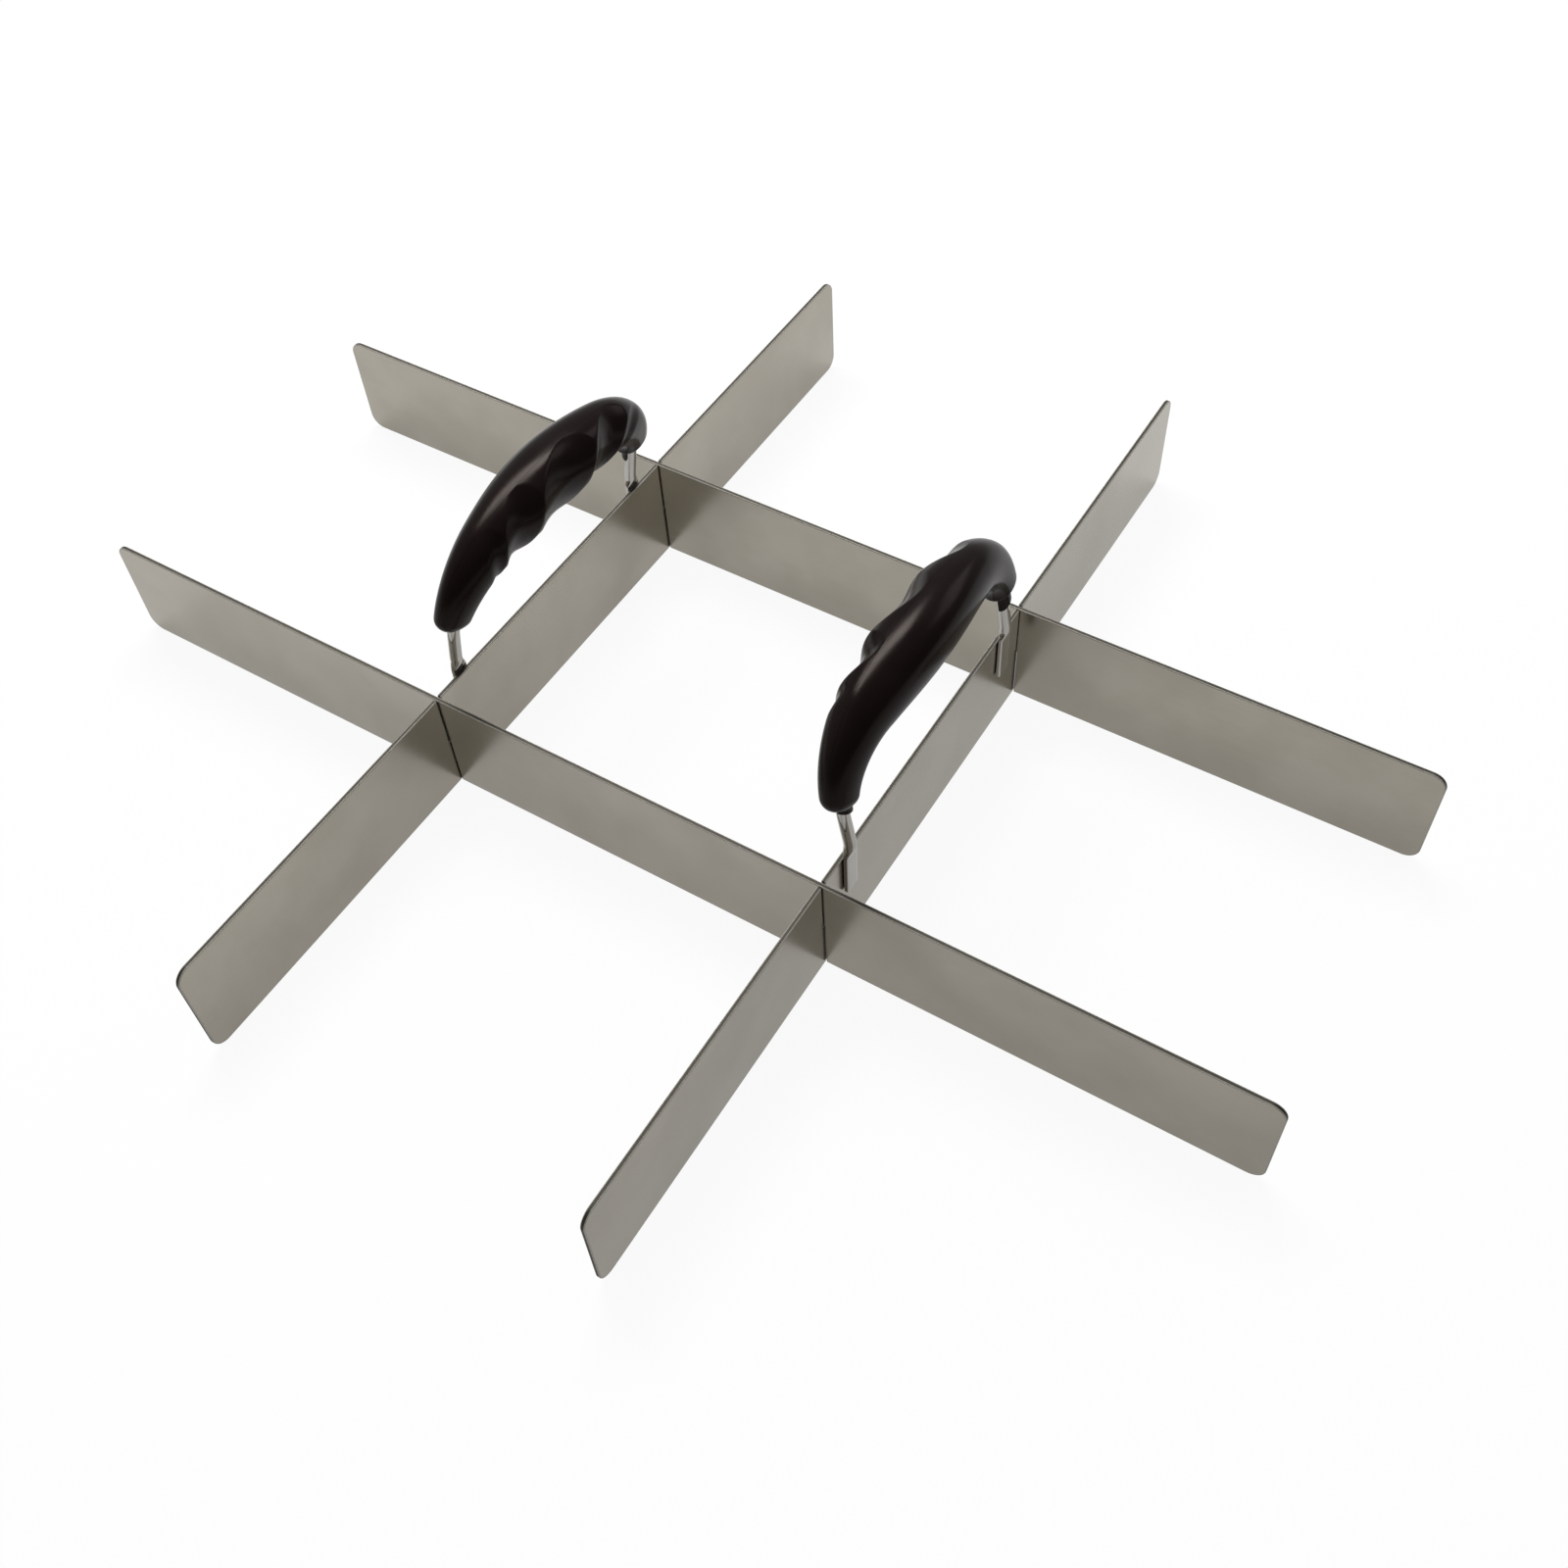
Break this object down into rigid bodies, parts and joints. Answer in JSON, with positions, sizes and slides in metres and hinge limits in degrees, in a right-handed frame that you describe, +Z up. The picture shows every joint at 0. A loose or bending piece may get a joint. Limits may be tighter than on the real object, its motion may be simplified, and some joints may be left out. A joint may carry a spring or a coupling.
{
  "type": "cake portion marker",
  "caption": "Open lattice of steel strips on edge, half-lapped at their crossings, with bow handles in black finger-grooved grips; pressed on a cake to mark even portions.",
  "frame": {"origin": "middle of the lattice, on the surface that the blades stand on", "axes": "+X along the cross blades to the right, +Y along the handle blades to the rear, +Z up to the grips"},
  "size_m": [0.42, 0.358, 0.0946],
  "materials": {
    "satin_steel": "satin stainless strip",
    "polished_steel": "mirror polished rod",
    "black_plastic": "semi-gloss moulding"
  },
  "bodies": {
    "handle_frame": {"handle_blade_right": "satin_steel", "right_handle_rod": "polished_steel", "right_palm_shell": "black_plastic", "right_finger_shell": "black_plastic", "handle_blade_left": "satin_steel", "left_handle_rod": "polished_steel", "left_palm_shell": "black_plastic", "left_finger_shell": "black_plastic"},
    "front_cross_blade": {"cross_blade_front": "satin_steel"},
    "rear_cross_blade": {"cross_blade_rear": "satin_steel"}
  },
  "joints": [
    {"name": "front_blade_lift", "type": "slide", "parent": "handle_frame", "child": "front_cross_blade", "axis": [0, 0, 1], "range_m": [0, 0.045]},
    {"name": "rear_blade_lift", "type": "slide", "parent": "handle_frame", "child": "rear_cross_blade", "axis": [0, 0, 1], "range_m": [0, 0.045]}
  ]
}
